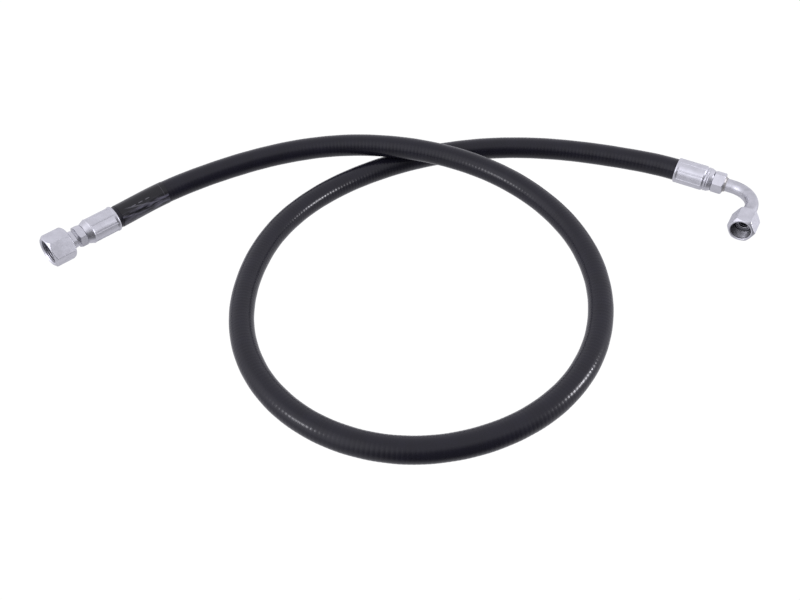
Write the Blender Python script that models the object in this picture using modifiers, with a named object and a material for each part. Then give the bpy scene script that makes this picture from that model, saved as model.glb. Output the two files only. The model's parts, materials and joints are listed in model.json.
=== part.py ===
"""Hydraulic hose assembly: a rubber hose with two wire braids, a straight swivel fitting on one end
and a 90 degree elbow swivel fitting on the other.

Real size, in metres, +Z up. The origin is on the ground, in the middle of the box that the two
fittings fill. The hose lies in one open loop on the ground and passes over itself once. Sizes are in
millimetres. Each fitting is measured along its axis from its ferrule's mouth, out of the hose, and
hangs on an empty there whose local +Z is that axis.
"""
import math

import bmesh
import bpy
import numpy as np
from mathutils import Matrix

MM = 0.001

# Where the fittings lie: the ferrule mouth's position, and the heading in which the axis leaves.
STRAIGHT_MOUTH = (-288.0, -10.8)
STRAIGHT_HEADING = math.radians(223.6)
ELBOW_MOUTH = (281.0, 61.2)
ELBOW_HEADING = math.radians(-29.7)
ELBOW_TURN = math.radians(-90)

# Swivel nuts: flats, length, thread radius at mid depth, thread length, hole in the rear wall.
STRAIGHT_NUT = {"flats": 28.6, "length": 23.1, "thread": 12.1, "threaded": 14.5, "hole": 9.0}
ELBOW_NUT = {"flats": 23.8, "length": 22.8, "thread": 9.9, "threaded": 15.0, "hole": 7.2}
NUT_FACE_SHARE = 1.01
NUT_COUNTERSINK = 0.9
NUT_RELIEF = (0.6, 3.0)

# Hose layers from the outside in: node name, outer radius, wall, slot.
HOSE_RADIUS = 11.1
HOSE_LAYERS = (
    ("hose_cover", HOSE_RADIUS, 1.0, "cover_rubber"),
    ("hose_outer_braid", 9.95, 0.6, "braid_wire"),
    ("hose_braid_separator", 9.20, 0.35, "separator_rubber"),
    ("hose_inner_braid", 8.70, 0.6, "braid_wire"),
    ("hose_inner_tube", 7.95, 1.35, "tube_rubber"),
)
HOSE_SQUEEZE = 0.96
SQUEEZE_LENGTH = 5.0
STRAIGHT_INSERTION = 28.0
ELBOW_INSERTION = 31.0
HOSE_STEP = 46.0
HOSE_BEVEL = 2

# The straight fitting's axis lies half its nut's flats above the ground. The elbow rests on its nut
# and on its ferrule's rim, so the axis of its ferrule slopes down a little towards the bend.
FERRULE_RIM_RADIUS = 12.9
STRAIGHT_HEIGHT = STRAIGHT_NUT["flats"] / 2
ELBOW_HEIGHT = FERRULE_RIM_RADIUS + 0.05
ELBOW_CORNER = 83.6
ELBOW_SLOPE = math.asin((ELBOW_NUT["flats"] / 2 - ELBOW_HEIGHT) / ELBOW_CORNER)

# The hose's axis lies a little over its radius above the ground where nothing holds it up.
LYING = HOSE_RADIUS + 0.12

# The hose's route from the straight fitting's ferrule mouth to the elbow fitting's.
HOSE_ROUTE = (
    (*STRAIGHT_MOUTH, STRAIGHT_HEIGHT),
    (-253.7, 21.5, 15.4),
    (-197.7, 55.5, 19.9),
    (-135.7, 77.5, 25.7),
    (-69.7, 84.5, 31.4),
    (-0.7, 74.5, 34.3),
    (62.3, 51.5, 32.2),
    (118.3, 9.5, 27.5),
    (156.3, -48.5, 22.1),
    (170.3, -117.5, 16.6),
    (157.3, -186.5, 12.6),
    (120.3, -243.5, LYING),
    (61.3, -282.5, LYING),
    (-7.7, -293.5, LYING),
    (-72.7, -272.5, LYING),
    (-121.7, -224.5, LYING),
    (-146.7, -157.5, LYING),
    (-145.7, -89.5, LYING),
    (-123.7, -22.5, LYING),
    (-80.7, 32.5, LYING),
    (-23.7, 72.5, LYING),
    (40.3, 97.5, LYING),
    (111.3, 106.5, LYING),
    (174.3, 99.5, 11.6),
    (229.3, 83.5, 12.5),
    (*ELBOW_MOUTH, ELBOW_HEIGHT),
)

# The label: a clear film wrapped round the hose, from and to these lengths past the straight ferrule.
LABEL_SPAN = (4.0, 31.0, 58.0)
LABEL_RADIUS = 11.45
LABEL_THICKNESS = 0.2

# Ferrules: crimped zone, bore, and the lip that locks in the stem's groove.
CRIMP_RADIUS = 12.45
FERRULE_BORE = 11.0
FERRULE_MOUTH_BORE = 11.55
LIP_RADIUS = 7.7

# Stems: barbed tail, locking groove, hexagon collar and neck.
BORE_RADIUS = 4.0
BARB_RADIUS = 5.5
BARB_ROOT = 5.0
BARB_PITCH = 5.0
TAIL_START = 2.0
SHOULDER_RADIUS = 8.4
GROOVE_RADIUS = 7.4
COLLAR_FLATS = 19.7
COLLAR_FACE_SHARE = 0.98
STRAIGHT_COLLAR_TURN = 0.0
ELBOW_COLLAR_TURN = math.radians(11.3)
CHAMFER_SLOPE = math.tan(math.radians(30))

# Straight fitting, lengths from the ferrule's mouth.
STRAIGHT_LIP = 30.6
STRAIGHT_COLLAR = (35.2, 42.5)
NECK_RADIUS = 8.55
STRAIGHT_NUT_BACK = 49.9
STRAIGHT_FACE_RADIUS = 10.9
STRAIGHT_FACE_DEPTH = 10.0
STRAIGHT_FLANGE = 4.4

# Elbow fitting, lengths from the ferrule's mouth, then from the corner where its two axes meet.
ELBOW_LIP = 33.8
ELBOW_COLLAR = (38.6, 49.8)
BEND_RADIUS = 25.5
BEND_STEPS = 12
TUBE_RADIUS = 6.6
TUBE_WALL = 2.0
SOCKET_RADIUS = 6.9
SOCKET_DEPTH = 7.5
BRAZE_BORE = 6.9
BRAZE_RADIUS = 8.8
BRAZE_LENGTH = 2.2
ELBOW_NUT_BACK = 42.8
HEAD_RADIUS = 8.4
HEAD_BRAZE = (47.9, 48.9)
HEAD_BRAZE_RADIUS = 7.9
HEAD_START = 49.2
HEAD_SOCKET_END = 51.4
ELBOW_FACE_DEPTH = 12.0

GAP = 0.3
FLATS_UP = math.radians(30)
TURN_STEPS = 24
MERGE = 1e-5

COLOURS = {
    "cover_rubber": ((0.030, 0.030, 0.036, 1), 0.0, 0.45),
    "separator_rubber": ((0.040, 0.038, 0.036, 1), 0.0, 0.7),
    "tube_rubber": ((0.015, 0.015, 0.016, 1), 0.0, 0.6),
    "braid_wire": ((0.60, 0.50, 0.30, 1), 1.0, 0.35),
    "zinc_plate": ((0.62, 0.62, 0.66, 1), 1.0, 0.35),
    "braze": ((0.66, 0.64, 0.62, 1), 1.0, 0.4),
    "label_film": ((0.080, 0.080, 0.090, 1), 0.0, 0.15),
}


def clear_scene():
    for scene_object in list(bpy.data.objects):
        bpy.data.objects.remove(scene_object)


def new_collection(name):
    collection = bpy.data.collections.new(name)
    bpy.context.scene.collection.children.link(collection)
    return collection


def new_material(name, slot):
    colour, metallic, roughness = COLOURS[slot]
    material = bpy.data.materials.new(name)
    material.use_nodes = True
    shader = material.node_tree.nodes["Principled BSDF"]
    shader.inputs["Base Color"].default_value = colour
    shader.inputs["Metallic"].default_value = metallic
    shader.inputs["Roughness"].default_value = roughness
    return material


def place(name, data, collection, parent=None):
    thing = bpy.data.objects.new(name, data)
    collection.objects.link(thing)
    thing.parent = parent
    return thing


def finish_piece(piece, slot):
    piece.data.materials.append(new_material(piece.name, slot))


def axis_frame(name, collection, position, heading, slope=0.0):
    """An empty whose local +Z runs along heading and rises by slope, with local +X level."""
    frame = place(name, None, collection)
    frame.location = [coordinate * MM for coordinate in position]
    frame.rotation_euler = (math.pi / 2 - slope, 0, heading + math.pi / 2)
    return frame


def turned(name, profile, collection, parent):
    """A turned shape: (radius, length) points in mm from the far end towards the hose, on the outside.

    A profile that starts and ends on the axis gives a solid, and a closed one gives a ring.
    """
    mesh = bpy.data.meshes.new(name)
    points = [(radius * MM, 0, length * MM) for radius, length in profile]
    edges = [(i, i + 1) for i in range(len(points) - 1)]
    if profile[0][0] > 0:
        edges.append((len(points) - 1, 0))
    mesh.from_pydata(points, edges, [])
    piece = place(name, mesh, collection, parent)
    screw = piece.modifiers.new("turn", "SCREW")
    screw.steps = TURN_STEPS
    screw.render_steps = TURN_STEPS
    screw.use_merge_vertices = True
    screw.merge_threshold = MERGE
    return piece


def hexagon(name, across_flats, span, turn, collection, parent):
    """A hexagonal prism between two lengths in mm, with a corner upwards before its turn."""
    start, end = span
    corner_radius = across_flats / math.sqrt(3) * MM
    build = bmesh.new()
    bmesh.ops.create_cone(
        build, cap_ends=True, segments=6, depth=(end - start) * MM,
        radius1=corner_radius, radius2=corner_radius,
        matrix=Matrix.Translation((0, 0, (start + end) / 2 * MM)) @ Matrix.Rotation(turn, 4, "Z"),
    )
    mesh = bpy.data.meshes.new(name)
    build.to_mesh(mesh)
    build.free()
    return place(name, mesh, collection, parent)


def boolean(piece, operation, cutter):
    step = piece.modifiers.new(operation.lower(), "BOOLEAN")
    step.operation = operation
    step.object = cutter
    return step


def chamfer_envelope(name, across_flats, face_radius, span, collection, parent):
    """The turned solid that leaves a 30 degree chamfer on both ends of a hexagon inside it."""
    start, end = span
    outer = across_flats / math.sqrt(3) + 1
    drop = (outer - face_radius) * CHAMFER_SLOPE
    profile = [
        (0, end), (face_radius, end), (outer, end - drop),
        (outer, start + drop), (face_radius, start), (0, start),
    ]
    return turned(name, profile, collection, parent)


def pipe(name, points, radius, wall, collection, squeeze=None, bevel=HOSE_BEVEL):
    """A pipe along points in mm: an open bevelled curve of this outer radius with an inward wall."""
    curve = bpy.data.curves.new(name, "CURVE")
    curve.dimensions = "3D"
    curve.twist_mode = "Z_UP"
    curve.bevel_depth = radius * MM
    curve.bevel_resolution = bevel
    curve.resolution_u = 1
    curve.render_resolution_u = 0
    curve.use_fill_caps = False
    spline = curve.splines.new("POLY")
    spline.points.add(len(points) - 1)
    for number, point in enumerate(points):
        spline.points[number].co = (point[0] * MM, point[1] * MM, point[2] * MM, 1)
        if squeeze is not None:
            spline.points[number].radius = squeeze[number]
    piece = place(name, curve, collection)
    shell = piece.modifiers.new("wall", "SOLIDIFY")
    shell.thickness = wall * MM
    shell.offset = -1
    shell.use_even_offset = True
    return piece


def heading_vector(heading, slope=0.0):
    level = math.cos(slope)
    return np.array([math.cos(heading) * level, math.sin(heading) * level, math.sin(slope)])


def smooth_route(points, start_direction, end_direction, samples_a_span=40):
    """A cubic spline through points, with its chord lengths as parameter and both end directions given.

    The slopes at the points are the ones that make the curve's second derivative continuous.
    """
    points = np.array(points, dtype=float)
    chords = np.linalg.norm(np.diff(points, axis=0), axis=1)
    count = len(points)
    system = np.zeros((count, count))
    right_side = np.zeros((count, 3))
    system[0, 0] = system[-1, -1] = 1
    right_side[0] = start_direction
    right_side[-1] = end_direction
    for i in range(1, count - 1):
        before, after = chords[i - 1], chords[i]
        system[i, i - 1:i + 2] = (after, 2 * (before + after), before)
        rise_before = (points[i] - points[i - 1]) * after / before
        rise_after = (points[i + 1] - points[i]) * before / after
        right_side[i] = 3 * (rise_before + rise_after)
    slopes = np.linalg.solve(system, right_side)
    along = (np.arange(samples_a_span) / samples_a_span)[:, None]
    curve = []
    for i in range(count - 1):
        start_weight = 2 * along**3 - 3 * along**2 + 1
        start_slope = (along**3 - 2 * along**2 + along) * chords[i]
        end_slope = (along**3 - along**2) * chords[i]
        curve.append(
            start_weight * points[i] + start_slope * slopes[i]
            + (1 - start_weight) * points[i + 1] + end_slope * slopes[i + 1]
        )
    return np.vstack(curve + [points[-1:]])


def hose_path():
    """The hose's points from cut end to cut end, and how far the crimp squeezes it at each."""
    into_straight = heading_vector(STRAIGHT_HEADING)
    into_elbow = heading_vector(ELBOW_HEADING, ELBOW_SLOPE)
    route = smooth_route(HOSE_ROUTE, -into_straight, into_elbow)
    travelled = np.concatenate([[0], np.cumsum(np.linalg.norm(np.diff(route, axis=0), axis=1))])
    free_length = travelled[-1]
    steps = round((free_length - LABEL_SPAN[-1]) / HOSE_STEP)
    stations = [0, *LABEL_SPAN[:-1], *np.linspace(LABEL_SPAN[-1], free_length, steps + 1)]
    free = np.stack([np.interp(stations, travelled, route[:, axis]) for axis in range(3)], axis=1)
    start = [free[0] + into_straight * depth for depth in (STRAIGHT_INSERTION, SQUEEZE_LENGTH)]
    end = [free[-1] + into_elbow * depth for depth in (SQUEEZE_LENGTH, ELBOW_INSERTION)]
    squeeze = [HOSE_SQUEEZE, HOSE_SQUEEZE, *[1] * len(free), HOSE_SQUEEZE, HOSE_SQUEEZE]
    return np.vstack([start, free, end]), squeeze


def build_hose(parts):
    """The five layers of the hose, one inside the other, and the label round its straight end."""
    points, squeeze = hose_path()
    for name, radius, wall, slot in HOSE_LAYERS:
        finish_piece(pipe(name, points, radius, wall, parts, squeeze), slot)
    first = 3
    label_points = points[first:first + len(LABEL_SPAN)]
    finish_piece(pipe("label_film", label_points, LABEL_RADIUS, LABEL_THICKNESS, parts), "label_film")


def tail_profile(shoulder):
    """The barbed tail's outline, from the stem's shoulder to its open end inside the hose."""
    profile = []
    barb_count = int((shoulder - TAIL_START) / BARB_PITCH)
    for barb in range(barb_count):
        crest = shoulder - barb * BARB_PITCH
        profile.append((BARB_RADIUS, crest))
        profile.append((BARB_ROOT, crest - BARB_PITCH + 0.5))
    return [*profile, (BARB_ROOT, TAIL_START), (0, TAIL_START)]


def locking_profile(lip, collar_start):
    """The shoulder and groove in which the ferrule's lip locks, from the collar to the tail."""
    hose_stop = lip - 1.9
    return [
        (SHOULDER_RADIUS, collar_start + GAP), (SHOULDER_RADIUS, lip + 2.7), (GROOVE_RADIUS, lip + 2.7),
        (GROOVE_RADIUS, lip - GAP), (SHOULDER_RADIUS, lip - GAP), (SHOULDER_RADIUS, hose_stop),
        *tail_profile(hose_stop),
    ]


def add_collar(stem, span, turn, cutters, parent):
    """Joins a chamfered hexagon collar to a stem that is still solid."""
    name = stem.name + "_collar"
    face_radius = COLLAR_FLATS / 2 * COLLAR_FACE_SHARE
    collar = hexagon(name, COLLAR_FLATS, span, turn, cutters, parent)
    envelope = chamfer_envelope(name + "_chamfer", COLLAR_FLATS, face_radius, span, cutters, parent)
    boolean(collar, "INTERSECT", envelope)
    boolean(stem, "UNION", collar)


def swivel_nut(name, size, back, parts, cutters, parent):
    """A chamfered hexagon nut with a countersunk thread bore, a relief and a hole in its rear wall."""
    front = back + size["length"]
    flats, thread, hole = size["flats"], size["thread"], size["hole"]
    nut = hexagon(name, flats, (back, front), FLATS_UP, parts, parent)
    face_radius = flats / 2 * NUT_FACE_SHARE
    envelope = chamfer_envelope(name + "_chamfer", flats, face_radius, (back, front), cutters, parent)
    boolean(nut, "INTERSECT", envelope)
    relief_step, relief_length = NUT_RELIEF
    relief_front = front - size["threaded"]
    relief_back = relief_front - relief_length
    cavity = [
        (0, front + 1), (thread + NUT_COUNTERSINK + 1, front + 1), (thread, front - NUT_COUNTERSINK),
        (thread, relief_front), (thread + relief_step, relief_front), (thread + relief_step, relief_back),
        (hole, relief_back), (hole, back - 1), (0, back - 1),
    ]
    boolean(nut, "DIFFERENCE", turned(name + "_cavity", cavity, cutters, parent))
    finish_piece(nut, "zinc_plate")


def ferrule_profile(front_outline, front, lip):
    """A ferrule's ring: its own front, then the crimped zone, flared mouth, hose space and lip."""
    mouth = [(CRIMP_RADIUS, 2.6), (FERRULE_RIM_RADIUS, 1.2), (FERRULE_RIM_RADIUS - 0.5, 0)]
    inside = [
        (FERRULE_MOUTH_BORE, 0), (FERRULE_BORE, SQUEEZE_LENGTH), (FERRULE_BORE, lip - 1.4),
        (SHOULDER_RADIUS + 0.35, lip), (LIP_RADIUS, lip), (LIP_RADIUS, lip + 2.4),
        (SHOULDER_RADIUS + GAP, lip + 2.4), (SHOULDER_RADIUS + GAP, front),
    ]
    return [*front_outline, *mouth, *inside]


def build_straight_fitting(parts, cutters):
    """Straight swivel fitting: ferrule, stem with its flat sealing face, and nut, on one axis."""
    frame = axis_frame("straight_fitting", parts, HOSE_ROUTE[0], STRAIGHT_HEADING)
    collar_start, collar_end = STRAIGHT_COLLAR
    front = collar_start - GAP
    outline = [(9.8, front), (11.0, front - 2.7), (12.1, front - 5.4), (CRIMP_RADIUS, front - 7.2)]
    ferrule = turned("straight_ferrule", ferrule_profile(outline, front, STRAIGHT_LIP), parts, frame)
    finish_piece(ferrule, "zinc_plate")

    face = STRAIGHT_NUT_BACK + STRAIGHT_NUT["length"] - STRAIGHT_FACE_DEPTH
    flange_back = face - STRAIGHT_FLANGE
    outline = [
        (0, face), (STRAIGHT_FACE_RADIUS, face), (STRAIGHT_FACE_RADIUS, flange_back),
        (NECK_RADIUS, flange_back - (STRAIGHT_FACE_RADIUS - NECK_RADIUS)),
        (NECK_RADIUS, collar_end + 2.6), (GROOVE_RADIUS, collar_end + 2.2), (GROOVE_RADIUS, collar_end - 1),
        *locking_profile(STRAIGHT_LIP, collar_start),
    ]
    stem = turned("straight_stem", outline, parts, frame)
    add_collar(stem, STRAIGHT_COLLAR, STRAIGHT_COLLAR_TURN, cutters, frame)
    bore = [(0, face + 1), (BORE_RADIUS, face + 1), (BORE_RADIUS, 0), (0, 0)]
    boolean(stem, "DIFFERENCE", turned("straight_stem_bore", bore, cutters, frame))
    finish_piece(stem, "zinc_plate")
    swivel_nut("straight_swivel_nut", STRAIGHT_NUT, STRAIGHT_NUT_BACK, parts, cutters, frame)


def elbow_corner():
    """Where the elbow's two axes meet, in mm."""
    return np.array(HOSE_ROUTE[-1]) + heading_vector(ELBOW_HEADING, ELBOW_SLOPE) * ELBOW_CORNER


def elbow_tube_path():
    """The bent tube's centreline in mm: out of the collar, round a quarter circle, into the head."""
    inward = heading_vector(ELBOW_HEADING, ELBOW_SLOPE)
    outward = heading_vector(ELBOW_HEADING + ELBOW_TURN)
    centre = elbow_corner() + (outward - inward) * BEND_RADIUS
    angles = np.linspace(0, math.pi / 2, BEND_STEPS + 1)[:, None]
    arc = centre + BEND_RADIUS * (inward * np.sin(angles) - outward * np.cos(angles))
    start = np.array(HOSE_ROUTE[-1]) + inward * (ELBOW_COLLAR[1] - SOCKET_DEPTH + GAP)
    end = elbow_corner() + outward * (HEAD_SOCKET_END - GAP)
    return np.vstack([start, arc, end])


def build_elbow_inlet(parts, cutters):
    """The elbow's pieces on the hose's axis: ferrule, stem and the braze where its tube leaves."""
    frame = axis_frame("elbow_fitting", parts, HOSE_ROUTE[-1], ELBOW_HEADING, ELBOW_SLOPE)
    collar_start, collar_end = ELBOW_COLLAR
    front = collar_start - GAP
    outline = [
        (10.2, front), (10.7, front - 1.0), (11.7, front - 3.3), (12.0, front - 4.4), (11.5, front - 5.0),
        (12.0, front - 5.8), (12.1, front - 6.8), (11.5, front - 7.5), (11.9, front - 8.2),
        (CRIMP_RADIUS, front - 8.9),
    ]
    ferrule = turned("elbow_ferrule", ferrule_profile(outline, front, ELBOW_LIP), parts, frame)
    finish_piece(ferrule, "zinc_plate")

    locking = locking_profile(ELBOW_LIP, collar_start)
    outline = [(0, collar_end - 1), (GROOVE_RADIUS, collar_end - 1), *locking]
    stem = turned("elbow_stem", outline, parts, frame)
    add_collar(stem, ELBOW_COLLAR, ELBOW_COLLAR_TURN, cutters, frame)
    socket_floor = collar_end - SOCKET_DEPTH
    bore = [(0, collar_end + 1), (SOCKET_RADIUS, collar_end + 1), (SOCKET_RADIUS, socket_floor),
            (BORE_RADIUS, socket_floor), (BORE_RADIUS, 0), (0, 0)]
    boolean(stem, "DIFFERENCE", turned("elbow_stem_bore", bore, cutters, frame))
    finish_piece(stem, "zinc_plate")

    near, far = collar_end + GAP, collar_end + GAP + BRAZE_LENGTH
    fillet = [
        (BRAZE_BORE, far), (BRAZE_BORE + 0.4, far), (BRAZE_BORE + 0.8, (near + far) / 2),
        (BRAZE_RADIUS, near), (BRAZE_BORE, near),
    ]
    finish_piece(turned("elbow_stem_braze", fillet, parts, frame), "braze")


def build_elbow_outlet(parts, cutters):
    """The bent tube, and the head with its flat sealing face and the nut round the tube's end."""
    tube = pipe("elbow_tube", elbow_tube_path(), TUBE_RADIUS, TUBE_WALL, parts, bevel=5)
    finish_piece(tube, "zinc_plate")
    frame = axis_frame("elbow_outlet", parts, elbow_corner(), ELBOW_HEADING + ELBOW_TURN)
    face = ELBOW_NUT_BACK + ELBOW_NUT["length"] - ELBOW_FACE_DEPTH
    profile = [
        (HEAD_RADIUS, face), (HEAD_RADIUS, HEAD_START + 0.8), (HEAD_RADIUS - 0.8, HEAD_START),
        (SOCKET_RADIUS, HEAD_START), (SOCKET_RADIUS, HEAD_SOCKET_END), (BORE_RADIUS, HEAD_SOCKET_END),
        (BORE_RADIUS, face),
    ]
    finish_piece(turned("elbow_head", profile, parts, frame), "zinc_plate")
    start, end = HEAD_BRAZE
    fillet = [
        (HEAD_BRAZE_RADIUS, end), (BRAZE_BORE + 0.3, start), (BRAZE_BORE, start), (BRAZE_BORE, end),
    ]
    finish_piece(turned("elbow_head_braze", fillet, parts, frame), "braze")
    swivel_nut("elbow_swivel_nut", ELBOW_NUT, ELBOW_NUT_BACK, parts, cutters, frame)


def main():
    clear_scene()
    parts = new_collection("hydraulic_hose_assembly")
    cutters = new_collection("cutters")
    build_hose(parts)
    build_straight_fitting(parts, cutters)
    build_elbow_inlet(parts, cutters)
    build_elbow_outlet(parts, cutters)
    for cutter in cutters.objects:
        cutter.hide_render = True
        cutter.display_type = "WIRE"


main()
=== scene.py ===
"""Looks of the hydraulic hose assembly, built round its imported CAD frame.

The file is laid out as a Blender add-on and run as a script. Every piece is a surface worked out with
numpy: rows of points round an axis or along the hose. Lengths in tables are in millimetres and turn
into metres where points are made. A fitting's lengths are measured along its axis from its ferrule's
mouth, out of the hose.
"""

import json
import math

import bpy
import numpy as np
from bpy.props import FloatProperty, FloatVectorProperty, IntProperty, PointerProperty, StringProperty
from mathutils import Matrix


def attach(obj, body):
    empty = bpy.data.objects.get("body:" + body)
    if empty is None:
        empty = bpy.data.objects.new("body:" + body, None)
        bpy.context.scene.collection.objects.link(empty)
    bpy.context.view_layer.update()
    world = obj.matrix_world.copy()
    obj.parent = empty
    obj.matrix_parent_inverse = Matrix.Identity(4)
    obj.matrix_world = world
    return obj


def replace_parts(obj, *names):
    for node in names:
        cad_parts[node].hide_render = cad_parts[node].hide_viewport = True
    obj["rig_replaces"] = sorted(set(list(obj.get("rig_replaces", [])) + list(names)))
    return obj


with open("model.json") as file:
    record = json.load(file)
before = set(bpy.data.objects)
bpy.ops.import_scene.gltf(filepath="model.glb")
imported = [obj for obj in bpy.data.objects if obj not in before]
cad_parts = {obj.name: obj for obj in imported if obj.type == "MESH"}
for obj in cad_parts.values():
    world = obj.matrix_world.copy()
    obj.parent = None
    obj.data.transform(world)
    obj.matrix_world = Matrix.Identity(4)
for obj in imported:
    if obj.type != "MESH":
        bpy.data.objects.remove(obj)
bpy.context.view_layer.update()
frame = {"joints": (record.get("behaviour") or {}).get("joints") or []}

bl_info = {
    "name": "Hydraulic Hose Assembly",
    "version": (1, 0, 0),
    "blender": (4, 5, 0),
    "location": "View3D > Sidebar > Hose Assembly",
    "description": "Builds a wire-braided hydraulic hose with a straight and an elbow swivel fitting",
    "category": "Add Mesh",
}

MM = 0.001
FULL_TURN = 2 * math.pi
ROOT = "hose_and_fittings"

# The joints that the nuts turn on, and the headings and slope of the fittings' axes.
JOINTS = {joint["name"]: joint for joint in frame["joints"]}
STRAIGHT_HEADING = math.radians(223.6)
ELBOW_HEADING = math.radians(-29.7)
ELBOW_HEIGHTS = (12.95, 11.9)
ELBOW_CORNER = 83.6
ELBOW_SLOPE = math.asin((ELBOW_HEIGHTS[1] - ELBOW_HEIGHTS[0]) / ELBOW_CORNER)

# The hose's route from the straight fitting's ferrule mouth to the elbow fitting's.
LYING = 11.22
HOSE_ROUTE = (
    (-288.0, -10.8, 14.3),
    (-253.7, 21.5, 15.4),
    (-197.7, 55.5, 19.9),
    (-135.7, 77.5, 25.7),
    (-69.7, 84.5, 31.4),
    (-0.7, 74.5, 34.3),
    (62.3, 51.5, 32.2),
    (118.3, 9.5, 27.5),
    (156.3, -48.5, 22.1),
    (170.3, -117.5, 16.6),
    (157.3, -186.5, 12.6),
    (120.3, -243.5, LYING),
    (61.3, -282.5, LYING),
    (-7.7, -293.5, LYING),
    (-72.7, -272.5, LYING),
    (-121.7, -224.5, LYING),
    (-146.7, -157.5, LYING),
    (-145.7, -89.5, LYING),
    (-123.7, -22.5, LYING),
    (-80.7, 32.5, LYING),
    (-23.7, 72.5, LYING),
    (40.3, 97.5, LYING),
    (111.3, 106.5, LYING),
    (174.3, 99.5, 11.6),
    (229.3, 83.5, 12.5),
    (281.0, 61.2, ELBOW_HEIGHTS[0]),
)
HOSE_DEPTHS = (28.0, 31.0)
SQUEEZE = 0.96
SQUEEZE_DEPTH = 5.0

# Inner layers: piece name, CAD node, outer radius, wall, material and slot.
INNER_LAYERS = (
    ("outer_wire_braid", "hose_outer_braid", 9.95, 0.6, "braid", "braid_wire"),
    ("rubber_between_braids", "hose_braid_separator", 9.20, 0.35, "separator", "separator_rubber"),
    ("inner_wire_braid", "hose_inner_braid", 8.70, 0.6, "braid", "braid_wire"),
    ("smooth_inner_tube", "hose_inner_tube", 7.95, 1.35, "inner_tube", "tube_rubber"),
)
LABEL_SPAN = (4.0, 58.0)
LABEL_RADIUS = 11.4
LABEL_THICKNESS = 0.12

# Ferrules.
CRIMP_RADIUS = 12.7
RIM_RADIUS = 12.9
FERRULE_BORE = 11.0
FERRULE_MOUTH_BORE = 11.55
LIP_RADIUS = 7.7
DIES = 8
DIE_TURN = math.radians(11)
RIDGE_HALF_WIDTH = 1.4

# Stems, elbow tube and head.
BORE_RADIUS = 4.2
BARB_RADIUS = 5.55
BARB_ROOT = 5.0
BARB_PITCH = 5.0
TAIL_START = 2.0
SHOULDER_RADIUS = 8.4
GROOVE_RADIUS = 7.4
COLLAR_FLATS = 19.7
GAP = 0.3
STRAIGHT_LIP = 30.6
STRAIGHT_COLLAR = (35.2, 42.5)
STRAIGHT_COLLAR_TURN = math.radians(90)
NECK_RADIUS = 8.55
STRAIGHT_FACE = 63.0
STRAIGHT_FACE_RADIUS = 10.9
ELBOW_LIP = 33.8
ELBOW_COLLAR = (38.6, 49.8)
ELBOW_COLLAR_TURN = math.radians(101.3)
BEND_RADIUS = 25.5
TUBE_RADIUS = 6.6
TUBE_WALL = 2.0
SOCKET_RADIUS = 6.9
SOCKET_DEPTH = 7.5
HEAD_RADIUS = 8.4
HEAD_SPAN = (49.2, 53.6)
HEAD_SOCKET_END = 51.4
HEAD_BRAZE = (47.9, 48.9)

# Swivel nuts: the joint each turns on, its lengths from the nut's back, and its hexagon.
STRAIGHT_NUT = {
    "joint": "straight_nut_spin", "flats": 28.6, "length": 23.1, "wall": 5.6, "hole": 9.0,
    "relief": 12.9, "relief_end": 8.6, "mouth": 13.0, "face": 13.6, "cone": 0.8, "back": 11.4, "swage": 5.0,
    "turns_per_inch": 14, "minor": 11.72,
}
ELBOW_NUT = {
    "joint": "elbow_nut_spin", "flats": 23.8, "length": 22.8, "wall": 4.8, "hole": 7.2,
    "relief": 10.5, "relief_end": 7.8, "mouth": 10.1, "face": 11.2, "cone": 1.0, "back": 10.8, "swage": 2.2,
    "turns_per_inch": 16, "minor": 9.5,
}
INCH = 25.4


def length_property(name, description, default, lowest, highest):
    """A property that holds a length in metres."""
    return FloatProperty(
        name=name, description=description, default=default, min=lowest, max=highest,
        subtype="DISTANCE", unit="LENGTH",
    )


class HoseSettings(bpy.types.PropertyGroup):
    diameter: length_property(
        "Outside diameter", "Outside diameter of the hose's rubber cover", 0.0222, 0.005, 0.1,
    )
    wall: length_property(
        "Cover thickness", "Thickness of the rubber cover over the outer braid", 0.001, 0.0005, 0.005,
    )
    rib_pitch: length_property(
        "Rib pitch", "Distance between the marks that the curing wrap leaves", 0.00375, 0.001, 0.01,
    )
    rib_depth: length_property(
        "Rib depth", "Depth of the marks that the curing wrap leaves", 0.00008, 0.0, 0.001,
    )
    sides: IntProperty(
        name="Sides", description="Points round the hose", default=28, min=8, max=64,
    )
    colour: StringProperty(
        name="Cover colour", description="Colour of the rubber cover as an sRGB hex value",
        default="#16151d",
    )


class FittingSettings(bpy.types.PropertyGroup):
    plating: StringProperty(
        name="Plating colour", description="Colour of the zinc plating as an sRGB hex value",
        default="#cfcfd6",
    )
    plating_roughness: FloatProperty(
        name="Plating roughness", description="Roughness of the plated steel",
        default=0.34, min=0.05, max=1,
    )
    ridge_height: length_property(
        "Crimp ridge height", "Height of the ridges that the crimping dies leave", 0.00042, 0.0, 0.001,
    )
    edge: length_property(
        "Edge break", "Size of the small bevel along machined edges", 0.0003, 0.0, 0.001,
    )
    corner: length_property(
        "Hexagon corner radius", "Rounding of the corners between a hexagon's flats", 0.0007, 0.0001, 0.003,
    )


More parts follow.
